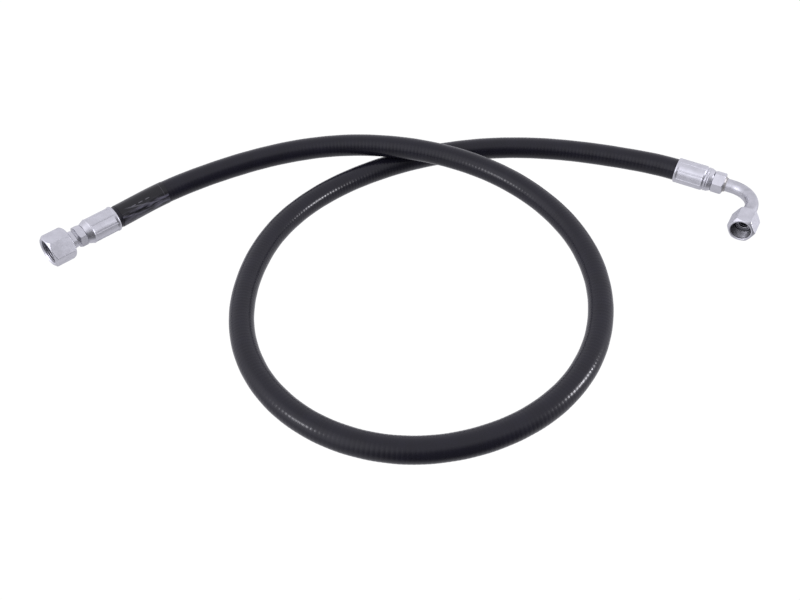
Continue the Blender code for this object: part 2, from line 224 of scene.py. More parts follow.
class StageSettings(bpy.types.PropertyGroup):
    camera_place: FloatVectorProperty(
        name="Camera place", description="Where the camera stands", size=3, subtype="TRANSLATION",
        unit="LENGTH", default=(-0.0082, -0.7285, 0.5914),
    )
    camera_tilt: FloatProperty(
        name="Camera tilt", description="How far the camera looks down", subtype="ANGLE",
        default=math.radians(44),
    )
    camera_roll: FloatProperty(
        name="Camera roll", description="How far the camera is turned about its own line of sight",
        subtype="ANGLE", default=math.radians(-0.61),
    )
    lens: FloatProperty(
        name="Lens", description="Focal length in millimetres on a 36 mm wide sensor", default=41.94,
        min=10, max=200,
    )
    tent_strength: FloatProperty(
        name="Tent strength", description="Brightness of the white tent round the object", default=1.05,
        min=0, max=10,
    )
    floor_share: FloatProperty(
        name="Floor share", description="Brightness of the light from below, as a share of the tent's",
        default=0.8, min=0, max=1,
    )
    floor_colour: StringProperty(
        name="Floor colour", description="Colour of the floor as an sRGB hex value", default="#ffffff",
    )


def heading_vector(heading, slope=0.0):
    """A unit vector: (cosine, sine) of the heading x cosine of the slope, and the slope's sine."""
    level = math.cos(slope)
    return np.array([math.cos(heading) * level, math.sin(heading) * level, math.sin(slope)])


def axis_basis(direction):
    """A level vector at the left of the direction, one upwards and the direction itself, as rows."""
    side = np.cross((0, 0, 1), direction)
    side /= np.linalg.norm(side)
    return np.array([side, np.cross(direction, side), direction])


def smooth_route(points, start_direction, end_direction, samples_a_span=40):
    """A cubic spline through points, with its chord lengths as parameter and both end directions given.

    The slopes at the points are the ones that make the curve's second derivative continuous.
    """
    points = np.array(points, dtype=float)
    chords = np.linalg.norm(np.diff(points, axis=0), axis=1)
    count = len(points)
    before, after = chords[:-1, None], chords[1:, None]
    middle = np.arange(1, count - 1)
    system = np.eye(count)
    system[middle, middle - 1] = chords[1:]
    system[middle, middle] = 2 * (chords[:-1] + chords[1:])
    system[middle, middle + 1] = chords[:-1]
    rises = np.diff(points, axis=0)
    inner = 3 * (rises[:-1] * after / before + rises[1:] * before / after)
    slopes = np.linalg.solve(system, np.vstack([start_direction, inner, end_direction]))
    along = (np.arange(samples_a_span) / samples_a_span)[None, :, None]
    start_weight = 2 * along**3 - 3 * along**2 + 1
    curve = (
        start_weight * points[:-1, None] + (1 - start_weight) * points[1:, None]
        + (along**3 - 2 * along**2 + along) * chords[:, None, None] * slopes[:-1, None]
        + (along**3 - along**2) * chords[:, None, None] * slopes[1:, None]
    )
    return np.vstack([curve.reshape(-1, 3), points[-1:]])


def whole_route():
    """The hose's centreline in mm, and the length at each of its points from the straight ferrule's mouth.

    The line runs straight on inside both ferrules, and follows the smooth route between them.
    """
    into_straight = heading_vector(STRAIGHT_HEADING)
    into_elbow = heading_vector(ELBOW_HEADING, ELBOW_SLOPE)
    route = smooth_route(HOSE_ROUTE, -into_straight, into_elbow)
    route = np.vstack([
        route[0] + into_straight * HOSE_DEPTHS[0], route, route[-1] + into_elbow * HOSE_DEPTHS[1],
    ])
    travelled = np.concatenate([[0], np.cumsum(np.linalg.norm(np.diff(route, axis=0), axis=1))])
    return route, travelled - HOSE_DEPTHS[0]


def hose_line(lengths):
    """Points of the hose's centreline, in mm, at lengths from the straight ferrule's mouth."""
    route, travelled = whole_route()
    return np.stack([np.interp(lengths, travelled, route[:, axis]) for axis in range(3)], axis=1)


def hose_frames(centres):
    """Level vectors to the right of the line's direction, and vectors square to both."""
    forward = np.gradient(centres, axis=0)
    forward /= np.linalg.norm(forward, axis=1)[:, None]
    right = np.cross(forward, (0, 0, 1))
    right /= np.linalg.norm(right, axis=1)[:, None]
    return right, np.cross(right, forward)


def crimped(lengths, end):
    """The share of its radius that the hose keeps: SQUEEZE deep inside a ferrule and 1 outside."""
    inside = np.clip(np.maximum(-lengths, lengths - (end - HOSE_DEPTHS[1])) / SQUEEZE_DEPTH, 0, 1)
    return 1 - (1 - SQUEEZE) * inside


def add_surface(name, points, angles, along, material):
    """A closed ring-shaped surface from a grid of points in metres, as a new object.

    Rows and columns both close on themselves, so four neighbours make each face. The faces are turned
    outwards by the sign of the enclosed volume. The map's first value is the angle in turns and its
    second the length in metres. A vertex normal is the sum of its faces' normals times their areas.
    """
    rows, columns = points.shape[:2]
    row, column = np.arange(rows)[:, None], np.arange(columns)[None, :]
    next_row, next_column = (row + 1) % rows, (column + 1) % columns
    grid = [(row, column), (row, next_column), (next_row, next_column), (next_row, column)]
    corners = np.stack([r * columns + c for r, c in grid], axis=-1).reshape(-1, 4)
    turns = np.append(angles, angles[0] + FULL_TURN) / FULL_TURN
    along = np.broadcast_to(along, (rows, columns))
    across = [turns[:-1], turns[1:], turns[1:], turns[:-1]]
    uv = np.stack([
        np.stack([np.broadcast_to(turn, (rows, columns)), along[place]], axis=-1)
        for turn, place in zip(across, grid)
    ], axis=2).reshape(-1, 4, 2)
    vertices = points.reshape(-1, 3)
    quads = vertices[corners]
    normals = np.cross(quads[:, 2] - quads[:, 0], quads[:, 3] - quads[:, 1])
    if (quads.mean(axis=1) * normals).sum() < 0:
        corners, uv, normals = corners[:, ::-1], uv[:, ::-1], -normals
    mesh = bpy.data.meshes.new(name)
    mesh.from_pydata(vertices.tolist(), [], corners.tolist())
    layer = mesh.uv_layers.new(name="UVMap")
    layer.data.foreach_set("uv", uv.astype(np.float32).ravel())
    mesh.shade_smooth()
    vertex_normals = np.stack([
        np.bincount(corners.ravel(), np.repeat(normals[:, axis], 4), len(vertices)) for axis in range(3)
    ], axis=1)
    vertex_normals /= np.linalg.norm(vertex_normals, axis=1)[:, None]
    mesh.normals_split_custom_set_from_vertices(vertex_normals.tolist())
    mesh.materials.append(material)
    piece = bpy.data.objects.new(name, mesh)
    bpy.context.scene.collection.objects.link(piece)
    return piece


def hand_over(piece, body, slot, *nodes):
    """Lets a piece move with its body and says which CAD nodes it stands for. slot, the name of its finish,
    is not used.
    """
    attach(piece, body)
    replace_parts(piece, *nodes)
    return piece


def add_hose_tube(name, lengths, outer, inner_lengths, inner, sides, material, end):
    """A tube along the hose: outer radii at lengths, then back along the bore at its own lengths.

    A point is the line's point plus the radius times (right x cosine + up x sine) of its angle.
    """
    angles = np.arange(sides) * FULL_TURN / sides
    every_length = np.concatenate([lengths, inner_lengths[::-1]])
    radii = np.concatenate([outer, np.broadcast_to(inner, inner_lengths.shape)[::-1]])
    radii = radii * crimped(every_length, end)
    sections = []
    for some in (lengths, inner_lengths):
        centres = hose_line(some)
        sections.append((centres, *hose_frames(centres)))
    centres, right, up = (np.vstack([a, b[::-1]]) for a, b in zip(*sections))
    round_section = right[:, None] * np.cos(angles)[:, None] + up[:, None] * np.sin(angles)[:, None]
    points = (centres[:, None] + round_section * radii[:, None, None]) * MM
    return add_surface(name, points, angles, every_length[:, None] * MM, material)


def rows_of(profile, columns):
    """A list of (radius, length) pairs, of numbers or arrays round the axis, as one array of rows."""
    return np.array([
        np.stack([np.broadcast_to(radius, columns), np.broadcast_to(length, columns)], axis=-1)
        for radius, length in profile
    ], dtype=float)


def soften(rows, size):
    """Rounds each edge of a closed profile: a row gives way to three, and the middle one stays nearest.

    The outer two lie towards the neighbours by size, or 0.35 of the way if that is less, and the middle
    one is a quarter of each plus half of the old row, which is the middle of a parabola through them.
    """
    def towards(neighbours):
        step = neighbours - rows
        reach = np.linalg.norm(step, axis=2, keepdims=True)
        return rows + step * np.minimum(size / np.maximum(reach, 1e-6), 0.35)

    before, after = towards(np.roll(rows, 1, axis=0)), towards(np.roll(rows, -1, axis=0))
    middle = 0.5 * rows + 0.25 * (before + after)
    return np.stack([before, middle, after], axis=1).reshape(-1, *rows.shape[1:])


def add_turned(name, rows, angles, origin, direction, material):
    """A piece round an axis: origin + direction x length + radius x (side x cosine + up x sine)."""
    side, up, forward = axis_basis(direction)
    radii, lengths = rows[..., :1], rows[..., 1:]
    section = side * np.cos(angles)[:, None] + up * np.sin(angles)[:, None]
    points = (np.array(origin) + radii * section + lengths * forward) * MM
    return add_surface(name, points, angles, rows[..., 1] * MM, material)


def spread_angles(count, offsets, turn=0.0):
    """Angles round the axis: offsets in degrees on both sides of count equally spaced places."""
    both = sorted({-offset for offset in offsets if offset * 2 * count < 360} | set(offsets))
    places = turn + np.arange(count)[:, None] * FULL_TURN / count
    return (places + np.radians(both)[None, :]).ravel()


def hexagon_radius(angles, flats, corner, turn):
    """The radius of a hexagon with rounded corners, one of them at turn.

    Near a corner the outline is an arc of the corner's radius, about a centre on the corner's line, and
    elsewhere it is half the flats' distance over the cosine of the angle from the flat's middle.
    """
    sixth = FULL_TURN / 6
    from_corner = np.abs((angles - turn + sixth / 2) % sixth - sixth / 2)
    centre = (flats / 2 - corner) / math.cos(sixth / 2)
    sideways = centre * np.sin(from_corner)
    arc = centre * np.cos(from_corner) + np.sqrt(np.maximum(corner**2 - sideways**2, 0))
    flat = flats / 2 / np.cos(sixth / 2 - from_corner)
    return np.where(sideways <= corner / 2, arc, flat)


HEXAGON_OFFSETS = (0, 0.8, 1.6, 2.6, 4.5, 8, 12, 16, 20, 25, 30)
DIE_OFFSETS = (0, 1.0, 1.5, 2.0, 2.5, 3.2, 7, 11, 15, 19, 22.5)
ROUND_COLUMNS = 72
CHAMFER = math.tan(math.radians(30))


def chamfered(radius, face_radius, face, inwards, cone=CHAMFER):
    """Two rows: a hexagon's flat face out to face_radius, and the cone from there to its outline.

    The cone falls back from the face, along inwards (+1 or -1), by cone x what the radius grows.
    """
    rim = np.minimum(face_radius, radius - 0.15)
    return [(rim, face), (radius, face + inwards * (radius - rim) * cone)]


def tail_profile(shoulder):
    """The barbed tail: saw teeth that rise slowly towards the stem's shoulder and drop off behind it."""
    crests = shoulder - BARB_PITCH * np.arange(int((shoulder - TAIL_START) / BARB_PITCH))
    teeth = [[(BARB_RADIUS, crest), (BARB_ROOT, crest - BARB_PITCH + 0.5)] for crest in crests]
    return [point for tooth in teeth for point in tooth] + [(BARB_ROOT, TAIL_START)]


def locking_profile(lip, collar_start):
    """The shoulder and groove in which the ferrule's lip locks, from the collar to the tail."""
    hose_stop = lip - 1.9
    return [
        (SHOULDER_RADIUS, collar_start), (SHOULDER_RADIUS, lip + 2.7), (GROOVE_RADIUS, lip + 2.7),
        (GROOVE_RADIUS, lip - GAP), (SHOULDER_RADIUS, lip - GAP), (SHOULDER_RADIUS, hose_stop),
        *tail_profile(hose_stop),
    ]


def add_stem(name, front_rows, lip, collar, turn, origin, direction, edge, corner, material):
    """A stem: its own front, a chamfered hexagon collar, the locking groove, the tail and the bore."""
    start, end = collar
    angles = spread_angles(6, HEXAGON_OFFSETS, turn)
    radius = hexagon_radius(angles, COLLAR_FLATS, corner, turn)
    face_radius = COLLAR_FLATS / 2
    profile = [
        *front_rows, *chamfered(radius, face_radius, end, -1),
        *chamfered(radius, face_radius, start, 1)[::-1],
        *locking_profile(lip, start), (BORE_RADIUS, TAIL_START),
    ]
    rows = soften(rows_of(profile, len(angles)), edge)
    return add_turned(name, rows, angles, origin, direction, material)


def add_ferrule(name, front_outline, front, lip, crimp_end, origin, direction, ridge, edge, material):
    """A ferrule: the die lands lie lower than the ridges that stay between them, up to crimp_end.

    In the crimped zone the radius drops by the ridge's height, except within RIDGE_HALF_WIDTH degrees of
    the line between two dies, and it falls smoothly over as much again.
    """
    angles = spread_angles(DIES, DIE_OFFSETS, DIE_TURN)
    share = FULL_TURN / DIES
    from_gap = np.degrees(np.abs((angles - DIE_TURN + share / 2) % share - share / 2))
    land = np.clip(from_gap / RIDGE_HALF_WIDTH - 1, 0, 1)
    land_radius = CRIMP_RADIUS - ridge * land * land * (3 - 2 * land)
    profile = [
        *front_outline, (CRIMP_RADIUS, crimp_end),
        *[(land_radius, length) for length in np.linspace(crimp_end - 0.9, 3.4, 6)],
        (CRIMP_RADIUS, 2.2), (RIM_RADIUS, 1.1), (RIM_RADIUS - 0.4, 0), (FERRULE_MOUTH_BORE, 0),
        (FERRULE_BORE, SQUEEZE_DEPTH), (FERRULE_BORE, lip - 1.4), (SHOULDER_RADIUS + 0.35, lip),
        (LIP_RADIUS, lip), (LIP_RADIUS, lip + 2.4), (SHOULDER_RADIUS + GAP, lip + 2.4),
        (SHOULDER_RADIUS + GAP, front),
    ]
    rows = soften(rows_of(profile, len(angles)), edge)
    return add_turned(name, rows, angles, origin, direction, material)


def thread_rows(nut, angles, start, end):
    """Rows of an internal right-hand thread between two lengths: minor radius plus depth x wave.

    The wave is a triangle with flat crests and roots, of (length / pitch - angle / full turn). It
    fades in over the first half pitch at both ends.
    """
    pitch = INCH / nut["turns_per_inch"]
    depth = 0.541 * pitch
    lengths = np.linspace(start, end, int((end - start) / pitch * 8))[:, None]
    phase = (lengths / pitch - angles[None, :] / FULL_TURN) % 1
    wave = np.clip((np.abs(2 * phase - 1) - 0.15) / 0.7, 0, 1)
    fade = np.clip(np.minimum(lengths - start, end - lengths) / (0.5 * pitch), 0, 1)
    radii = nut["minor"] + depth * wave * fade
    return np.stack([radii, np.broadcast_to(lengths, radii.shape)], axis=-1)


def add_nut(name, nut, edge, corner, material):
    """A swivel nut: hexagon with a chamfered front, a rounded back, a rear hole and a thread.

    The rounded back is a quarter of an ellipse in the plane through the axis: from the back's radius
    to the hexagon's corner circle outwards, and over the swage's length forwards.
    """
    joint = JOINTS[nut["joint"]]
    direction = np.array(joint["axis"])
    length, back_radius = nut["length"], nut["back"]
    origin = np.array(joint["pos_m"]) / MM - direction * length
    angles = spread_angles(6, HEXAGON_OFFSETS)
    radius = hexagon_radius(angles, nut["flats"], corner, 0)
    countersink = nut["mouth"] - nut["minor"]
    widest = nut["flats"] / math.sqrt(3) + 0.2
    shares = np.array([1, 0.8, 0.6, 0.4, 0.2, 0])[:, None]
    swage_radius = back_radius + (radius - back_radius) * shares
    rise = (swage_radius - back_radius) / (widest - back_radius)
    swage_length = nut["swage"] * (1 - np.sqrt(1 - rise**2))
    outside = rows_of([
        (nut["mouth"], length), *chamfered(radius, nut["face"], length, -1, nut["cone"]),
    ], len(angles))
    swage = np.stack([swage_radius, swage_length], axis=-1)
    inside = rows_of([
        (nut["hole"], 0), (nut["hole"], nut["wall"]), (nut["relief"], nut["wall"]),
        (nut["relief"], nut["relief_end"]), (nut["minor"], nut["relief_end"] + 0.6),
        (nut["minor"], length - countersink),
    ], len(angles))
    rounded = soften(np.concatenate([outside, swage[[0, -1]], inside]), edge)
    swage_start = 3 * (len(outside) + 1)
    before_swage, after_swage = rounded[:swage_start], rounded[swage_start:]
    thread = thread_rows(nut, angles, nut["relief_end"] + 0.9, length - countersink - 0.3)
    rows = np.concatenate([before_swage, swage[1:-1], after_swage[:-3], thread, after_swage[-3:]])
    return add_turned(name, rows, angles, origin, direction, material)


def bend_line():
    """The elbow tube's centreline in mm: straight in, a quarter circle and straight out.

    A point of the bend is its centre plus the bend's radius x (in x sine - out x cosine) of its angle.
    """
    mouth = np.array(HOSE_ROUTE[-1])
    inward = heading_vector(ELBOW_HEADING, ELBOW_SLOPE)
    outward = np.array(JOINTS[ELBOW_NUT["joint"]]["axis"])
    corner = mouth + inward * ELBOW_CORNER
    bend = np.linspace(0, math.pi / 2, 25)[:, None]
    arc = corner + BEND_RADIUS * ((np.sin(bend) - 1) * inward + (1 - np.cos(bend)) * outward)
    tube_start = ELBOW_COLLAR[1] - SOCKET_DEPTH + GAP
    start = mouth + inward * np.linspace(tube_start, ELBOW_CORNER - BEND_RADIUS, 7)[:-1, None]
    end = corner + outward * np.linspace(BEND_RADIUS, HEAD_SOCKET_END - GAP, 10)[1:, None]
    return np.vstack([start, arc, end])


def add_bent_tube(name, material):
    """The elbow's tube, a little flattened in the bend as a drawn tube is, with a wall and open ends."""
    centres = bend_line()
    right, up = hose_frames(centres)
    forward = np.gradient(centres, axis=0)
    lengths = np.concatenate([[0], np.cumsum(np.linalg.norm(np.diff(centres, axis=0), axis=1))])
    turning = np.linalg.norm(np.diff(forward / np.linalg.norm(forward, axis=1)[:, None], axis=0), axis=1)
    bent = np.clip(np.append(turning, 0) / 0.05, 0, 1)
    angles = np.arange(48) * FULL_TURN / 48
    widths = (TUBE_RADIUS * (1 - 0.025 * bent))[:, None, None]
    heights = (TUBE_RADIUS * (1 + 0.02 * bent))[:, None, None]
    section = right[:, None] * np.cos(angles)[:, None] * widths
    section = section + up[:, None] * np.sin(angles)[:, None] * heights
    outside = centres[:, None] + section
    inside = centres[:, None] + section * (1 - TUBE_WALL / TUBE_RADIUS)
    points = np.vstack([outside, inside[::-1]]) * MM
    along = np.concatenate([lengths, lengths[::-1]])[:, None] * MM
    return add_surface(name, points, angles, along, material)


def add_round(name, profile, origin, direction, edge, material, wobble=0.0):
    """A plain turned ring, whose radius may wobble by a sum of three waves round it."""
    angles = np.arange(ROUND_COLUMNS) * FULL_TURN / ROUND_COLUMNS
    rows = soften(rows_of(profile, ROUND_COLUMNS), edge)
    waves = np.sin(3 * angles + 1) + 0.7 * np.sin(7 * angles) + 0.5 * np.sin(11 * angles + 2)
    rows[..., 0] += wobble * waves * (rows[..., 0] > rows[..., 0].min() + 0.3)
    return add_turned(name, rows, angles, origin, direction, material)


def linear(hex_text):
    """An sRGB hex value as linear red, green, blue and an alpha of 1."""
    channels = np.array([int(hex_text[i:i + 2], 16) for i in (1, 3, 5)]) / 255
    low, high = channels / 12.92, ((channels + 0.055) / 1.055) ** 2.4
    return (*np.where(channels <= 0.04045, low, high), 1.0)


def fill_inputs(tree, node, inputs):
    """Sets or links a node's inputs, given by name or by place."""
    for name, value in inputs.items():
        if isinstance(value, bpy.types.NodeSocket):
            tree.links.new(value, node.inputs[name])
        else:
            node.inputs[name].default_value = value


def add_node(tree, kind, inputs=(), output=0, **settings):
    """Adds a shader node with its settings and inputs, and returns one of its outputs.

    The inputs are values or sockets, by name or in the node's own order.
    """
    node = tree.nodes.new("ShaderNode" + kind)
    for name, value in settings.items():
        setattr(node, name, value)
    fill_inputs(tree, node, inputs if isinstance(inputs, dict) else dict(enumerate(inputs)))
    return node.outputs[output]


def new_material(name):
    """A material with only its Principled shader and output, as (material, tree, shader)."""
    material = bpy.data.materials.new(name)
    material.use_nodes = True
    tree = material.node_tree
    return material, tree, tree.nodes["Principled BSDF"]


def object_noise(tree, size_mm, detail=3.0):
    """Noise whose lumps are about size_mm wide, on the object's own coordinates."""
    place = add_node(tree, "TexCoord", output="Object")
    return add_node(tree, "TexNoise", {"Vector": place, "Scale": 1 / (size_mm * MM), "Detail": detail})


def map_noise(tree, place, detail):
    """Noise at a place (X, Y) on the piece's own map, with one lump to a unit."""
    vector = add_node(tree, "CombineXYZ", place)
    return add_node(tree, "TexNoise", {"Vector": vector, "Scale": 1.0, "Detail": detail})


def surface_map(tree):
    """The piece's own map: turns round the axis, and metres along it."""
    place = {"Vector": add_node(tree, "UVMap", uv_map="UVMap")}
    return add_node(tree, "SeparateXYZ", place, "X"), add_node(tree, "SeparateXYZ", place, "Y")


def band(tree, value, start, end, soft):
    """1 between start and end and 0 outside them, with edges soft wide."""
    rise = add_node(tree, "MapRange", (value, start, start + soft, 0.0, 1.0))
    fall = add_node(tree, "MapRange", (value, end - soft, end, 1.0, 0.0))
    return add_node(tree, "Math", (rise, fall), operation="MULTIPLY")


def patch(tree, along, turn, lengths, turns, soft_length, soft_turn):
    """1 inside a rectangle of the piece's own map and 0 outside it, with soft edges."""
    bands = band(tree, along, *lengths, soft_length), band(tree, turn, *turns, soft_turn)
    return add_node(tree, "Math", bands, operation="MULTIPLY")


# The printed line and the dashes beside it: metres before the elbow ferrule, and turns round the hose.
LINE_REACH, LINE_TURNS = (0.42, 0.045), (0.842, 0.856)
DASH_REACH, DASH_TURNS = (0.40, 0.12), (0.858, 0.880)


def wrapped_nitrile_rubber(settings, end):
    """Extruded nitrile cover, cured under a nylon wrap that leaves cross ribs with a soft sheen.

    The ribs are in the mesh. The material adds the wrap's cloth print, a faint mottle, and near the
    elbow a thin blue printed line with plain dashes beside it, low on the hose's right side.
    """
    material, tree, shader = new_material("wrapped_nitrile_rubber")
    turn, along = surface_map(tree)
    mottle = add_node(tree, "MapRange", (object_noise(tree, 14.0), 0.3, 0.7, 0.0, 1.0))
    base = add_node(tree, "MixRGB", (mottle, linear(settings.colour), linear("#191822")))
    line = patch(tree, along, turn, [end - reach for reach in LINE_REACH], LINE_TURNS, 0.004, 0.004)
    dash_place = add_node(tree, "Math", (along, 1 / (2.6 * MM)), operation="MULTIPLY")
    dashes = add_node(tree, "MapRange", (map_noise(tree, (dash_place,), 1.0), 0.5, 0.54, 0.0, 1.0))
    row = patch(tree, along, turn, [end - reach for reach in DASH_REACH], DASH_TURNS, 0.002, 0.004)
    dashes = add_node(tree, "Math", (dashes, row), operation="MULTIPLY")
    base = add_node(tree, "MixRGB", (line, base, linear("#3b3f6e")))
    base = add_node(tree, "MixRGB", (dashes, base, linear("#8f8f9a")))
    cloth = object_noise(tree, 0.8, detail=2.0)
    fill_inputs(tree, shader, {
        "Base Color": base, "IOR": 1.52, "Specular IOR Level": 0.28,
        "Roughness": add_node(tree, "MapRange", (object_noise(tree, 5.0), 0.3, 0.7, 0.21, 0.28)),
        "Normal": add_node(tree, "Bump", {"Height": cloth, "Distance": 0.02 * MM, "Strength": 0.3}),
    })
    return material


# The label's printed bars: start and end along the hose in mm, and their turns round it.
FILM_BARS, BAR_TURNS = ((17, 22), (25, 30), (33, 38)), (0.134, 0.149)


def clear_film_over_rubber():
    """A clear polyester label wrapped round the cover: smoother than the rubber, so it shows long streaks.

    It carries three plain printed bars, its overlap and far edge show as thin lighter lines, and paler
    streaks low on the hose's right side are a painted reflection.
    """
    material, tree, shader = new_material("clear_film_over_rubber")
    turn, along = surface_map(tree)
    bars = 0.0
    for start, end in FILM_BARS:
        bar = patch(tree, along, turn, (start * MM, end * MM), BAR_TURNS, 0.4 * MM, 0.006)
        bars = add_node(tree, "Math", (bars, bar), operation="MAXIMUM")
    slanted = add_node(tree, "Math", (along, 3.5, turn), operation="MULTIPLY_ADD")
    overlap = patch(tree, along, slanted, (9 * MM, 52 * MM), (0.183, 0.207), 6 * MM, 0.008)
    far_edge = band(tree, along, 53.4 * MM, 54.0 * MM, 0.2 * MM)
    around = add_node(tree, "Math", (turn, 26.0), operation="MULTIPLY")
    lengthwise = add_node(tree, "Math", (along, 1 / (16 * MM)), operation="MULTIPLY")
    streaks = map_noise(tree, (around, lengthwise), 2.0)
    # Painted reflection: pale streaks low on the hose's right side, following the film's streak noise.
    low_side = add_node(tree, "Math", (turn, FULL_TURN, -0.1), operation="MULTIPLY_ADD")
    low_side = add_node(tree, "Math", (low_side,), operation="COSINE")
    low_side = add_node(tree, "MapRange", (low_side, 0.8, 0.97, 0.0, 0.75))
    pale = add_node(tree, "MapRange", (streaks, 0.42, 0.62, 0.0, 1.0))
    painted_reflection_streaks = add_node(tree, "Math", (low_side, pale), operation="MULTIPLY")
    base = linear("#131217")
    for where, strength, colour in (
        (bars, 0.85, "#6e6d74"), (overlap, 0.5, "#6b6a72"), (far_edge, 0.3, "#77767c"),
        (painted_reflection_streaks, 1.0, "#6c6a78"),
    ):
        share = add_node(tree, "Math", (where, strength), operation="MULTIPLY")
        base = add_node(tree, "MixRGB", (share, base, linear(colour)))
    fill_inputs(tree, shader, {
        "Base Color": base, "Roughness": 0.17, "IOR": 1.58, "Specular IOR Level": 0.3,
        "Normal": add_node(tree, "Bump", {"Height": streaks, "Distance": 0.35 * MM, "Strength": 0.7}),
    })
    return material


def painted_bore_shade(tree, point, axis, radius, start, bore_shade_strength):
    """Painted shade for a bore: its strength within radius mm of an axis and start mm or more behind a
    point on it, and 0 elsewhere.

    With the offset from the point, the distance from the axis is the length of offset x axis, and how
    far behind the point it lies is the negative of their dot product.
    """
    place = add_node(tree, "TexCoord", output="Object")
    offset = add_node(tree, "VectorMath", (place, point), operation="SUBTRACT")
    sideways = add_node(tree, "VectorMath", (offset, axis), operation="CROSS_PRODUCT")
    distance = add_node(tree, "VectorMath", (sideways,), "Value", operation="LENGTH")
    near_axis = add_node(tree, "MapRange", (distance, radius * MM, (radius + 0.2) * MM, 1.0, 0.0))
    forward = add_node(tree, "VectorMath", (offset, axis), "Value", operation="DOT_PRODUCT")
    deep = add_node(tree, "MapRange", (forward, -(start + 0.3) * MM, -start * MM, 1.0, 0.0))
    inside = add_node(tree, "Math", (near_axis, deep), operation="MULTIPLY")
    return add_node(tree, "Math", (inside, bore_shade_strength), operation="MULTIPLY")


def zinc_plated_steel(name, settings, lines_mm, lines_depth, grime=0.0, bore=None):
    """Turned or drawn carbon steel under bright zinc plating: satin, with fine lines round the axis.

    Real tool marks are under 0.1 mm apart, too fine to show, so they are drawn lines_mm apart. Grime
    dulls the plating, most in its patches. Deep inside a bore the colour darkens to a grey as painted
    shade; bore holds that shade's point, axis, radius, start and strength.
    """
    material, tree, shader = new_material(name)
    turn, along = surface_map(tree)
    patches = add_node(tree, "MapRange", (object_noise(tree, 7.0), 0.25, 0.75, 0.0, 1.0))
    plating = np.array(linear(settings.plating)[:3])
    bright, dull = (*plating * (1 - grime / 2), 1.0), (*plating * (0.86 - grime), 1.0)
    base = add_node(tree, "MixRGB", (patches, bright, dull))
    # Painted shade: deep inside the bore the colour turns to a darker grey.
    if bore is not None:
        base = add_node(tree, "MixRGB", (painted_bore_shade(tree, *bore), base, linear("#77777c")))
    across = add_node(tree, "Math", (along, 1 / (lines_mm * MM)), operation="MULTIPLY")
    around = add_node(tree, "Math", (turn, 6.0), operation="MULTIPLY")
    lines = map_noise(tree, (across, around), 3.0)
    grain = object_noise(tree, 0.9, detail=2.0)
    low = settings.plating_roughness
    grain_normal = add_node(tree, "Bump", {"Height": grain, "Distance": 0.02 * MM, "Strength": 0.2})
    fill_inputs(tree, shader, {
        "Base Color": base, "Metallic": 1.0,
        "Roughness": add_node(tree, "MapRange", (object_noise(tree, 2.5), 0.3, 0.7, low, low + 0.1)),
        "Normal": add_node(tree, "Bump", {
            "Height": lines, "Distance": lines_depth * MM, "Strength": 0.4, "Normal": grain_normal,
        }),
    })
    return material


def braze_metal(settings):
    """A brazed fillet under the same plating: duller and lumpier than the turned steel beside it."""
    material, tree, shader = new_material("plated_braze_fillet")
    lumps = object_noise(tree, 1.6)
    fill_inputs(tree, shader, {
        "Base Color": add_node(tree, "MixRGB", (lumps, linear("#b9b7b6"), linear("#9c9a9c"))),
        "Metallic": 1.0, "Roughness": settings.plating_roughness + 0.14,
        "Normal": add_node(tree, "Bump", {"Height": lumps, "Distance": 0.3 * MM, "Strength": 0.8}),
    })
    return material


def brass_coated_wire_braid():
    """Brass-coated high-tensile wire, braided at 54 to 57 degrees: two crossing sets of raised strands.

    Each set is the size of the sine of half a turn x carriers x (turns round + or - length / lay).
    """
    material, tree, shader = new_material("brass_coated_wire_braid")
    turn, along = surface_map(tree)
    carriers, lay = 24.0, 40 * MM
    around = add_node(tree, "Math", (turn, carriers), operation="MULTIPLY")
    advance = add_node(tree, "Math", (along, carriers / lay), operation="MULTIPLY")
    strands = []
    for operation in ("ADD", "SUBTRACT"):
        strand = add_node(tree, "Math", (around, advance), operation=operation)
        strand = add_node(tree, "Math", (strand, math.pi), operation="MULTIPLY")
        strand = add_node(tree, "Math", (strand,), operation="SINE")
        strands.append(add_node(tree, "Math", (strand,), operation="ABSOLUTE"))
    weave = add_node(tree, "Math", strands, operation="MAXIMUM")
    fill_inputs(tree, shader, {
        "Base Color": add_node(tree, "MixRGB", (weave, linear("#7a6238"), linear("#cdb06e"))),
        "Metallic": 1.0, "Roughness": 0.34,
        "Normal": add_node(tree, "Bump", {"Height": weave, "Distance": 0.25 * MM, "Strength": 1.0}),
    })
    return material


def plain_rubber(name, colour, roughness, lumps_mm):
    """Extruded rubber inside the hose: matt, with a faint grain."""
    material, tree, shader = new_material(name)
    grain = object_noise(tree, lumps_mm)
    fill_inputs(tree, shader, {
        "Base Color": add_node(tree, "MixRGB", (grain, linear(colour), linear("#2c2a29"))),
        "Roughness": roughness, "IOR": 1.52,
        "Normal": add_node(tree, "Bump", {"Height": grain, "Distance": 0.05 * MM, "Strength": 0.4}),
    })
    return material


def white_sweep(settings):
    """A seamless white studio sweep, lit so strongly that its paper grain is lost in the white."""
    material, tree, shader = new_material("white_paper_sweep")
    fill_inputs(tree, shader, {
        "Base Color": linear("#000000"), "Specular IOR Level": 0.0, "Roughness": 1.0,
        "Emission Color": linear(settings.floor_colour),
        "Emission Strength": add_node(tree, "MapRange", (object_noise(tree, 40.0), 0.0, 1.0, 1.0, 1.06)),
    })
    return material


def hose_end():
    """The hose's length, in mm, from the straight ferrule's mouth to its cut end in the elbow ferrule."""
    return whole_route()[1][-1]


def inlet(which):
    """The ferrule mouth's place in mm and the axis that runs out of the hose there."""
    if which == "straight":
        return HOSE_ROUTE[0], heading_vector(STRAIGHT_HEADING)
    return HOSE_ROUTE[-1], heading_vector(ELBOW_HEADING, ELBOW_SLOPE)


def turned_steel(settings):
    """The finish that both stems and the head share, made once."""
    name = "bright_zinc_plated_turned_steel"
    return bpy.data.materials.get(name) or zinc_plated_steel(name, settings, 0.5, 0.03)


